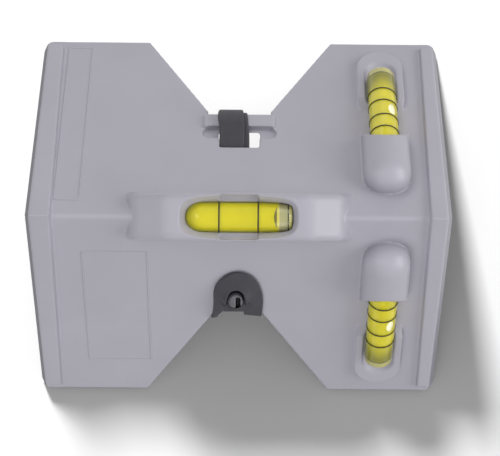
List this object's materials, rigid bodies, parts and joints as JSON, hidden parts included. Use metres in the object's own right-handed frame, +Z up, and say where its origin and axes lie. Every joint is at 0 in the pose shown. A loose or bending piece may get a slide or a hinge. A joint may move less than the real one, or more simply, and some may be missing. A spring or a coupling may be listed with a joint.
{
  "type": "post level",
  "caption": "Right-angled plastic post level with a ridge vial, two plumb vials, hourglass legs and a rubber strap hooked on a peg.",
  "frame": {"origin": "centre of the bounding box on the surface that the two outer leg edges rest on", "axes": "+X along the ridge towards the plumb vials, +Y towards the leg with the strap window, +Z up through the ridge"},
  "size_m": [0.1416, 0.1252, 0.0709],
  "materials": {
    "shell": "fine moulded texture, cool grey ABS",
    "rubber": "matte black strap rubber",
    "acrylic": "clear moulded acrylic",
    "fluid": "fluorescent yellow-green vial fluid",
    "bubble": "air bubble",
    "ink": "printed black index line"
  },
  "bodies": {
    "frame": {"body": "shell", "rubber_strap": "rubber", "level_vial_barrel": "acrylic", "level_vial_plug": "acrylic", "level_vial_fluid": "fluid", "level_vial_ring_1": "ink", "level_vial_ring_2": "ink", "upper_plumb_vial_barrel": "acrylic", "upper_plumb_vial_plug": "acrylic", "upper_plumb_vial_fluid": "fluid", "upper_plumb_vial_ring_1": "ink", "upper_plumb_vial_ring_2": "ink", "upper_plumb_vial_ring_3": "ink", "upper_plumb_vial_ring_4": "ink", "lower_plumb_vial_barrel": "acrylic", "lower_plumb_vial_plug": "acrylic", "lower_plumb_vial_fluid": "fluid", "lower_plumb_vial_ring_1": "ink", "lower_plumb_vial_ring_2": "ink", "lower_plumb_vial_ring_3": "ink", "lower_plumb_vial_ring_4": "ink"},
    "level_bubble": {"level_vial_bubble": "bubble"},
    "upper_bubble": {"upper_plumb_vial_bubble": "bubble"},
    "lower_bubble": {"lower_plumb_vial_bubble": "bubble"}
  },
  "joints": [
    {"name": "level_bubble_slide", "type": "slide", "parent": "frame", "child": "level_bubble", "axis": [1, 0, 0], "range_m": [-0.0238, 0], "stiffness_N_per_m": 5, "deforming": ["level_vial_fluid"]},
    {"name": "upper_bubble_slide", "type": "slide", "parent": "frame", "child": "upper_bubble", "axis": [0, 0.7071, -0.7071], "range_m": [-0.011, 0.011], "stiffness_N_per_m": 5, "deforming": ["upper_plumb_vial_fluid"]},
    {"name": "lower_bubble_slide", "type": "slide", "parent": "frame", "child": "lower_bubble", "axis": [0, -0.7071, -0.7071], "range_m": [-0.011, 0.011], "stiffness_N_per_m": 5, "deforming": ["lower_plumb_vial_fluid"]}
  ]
}
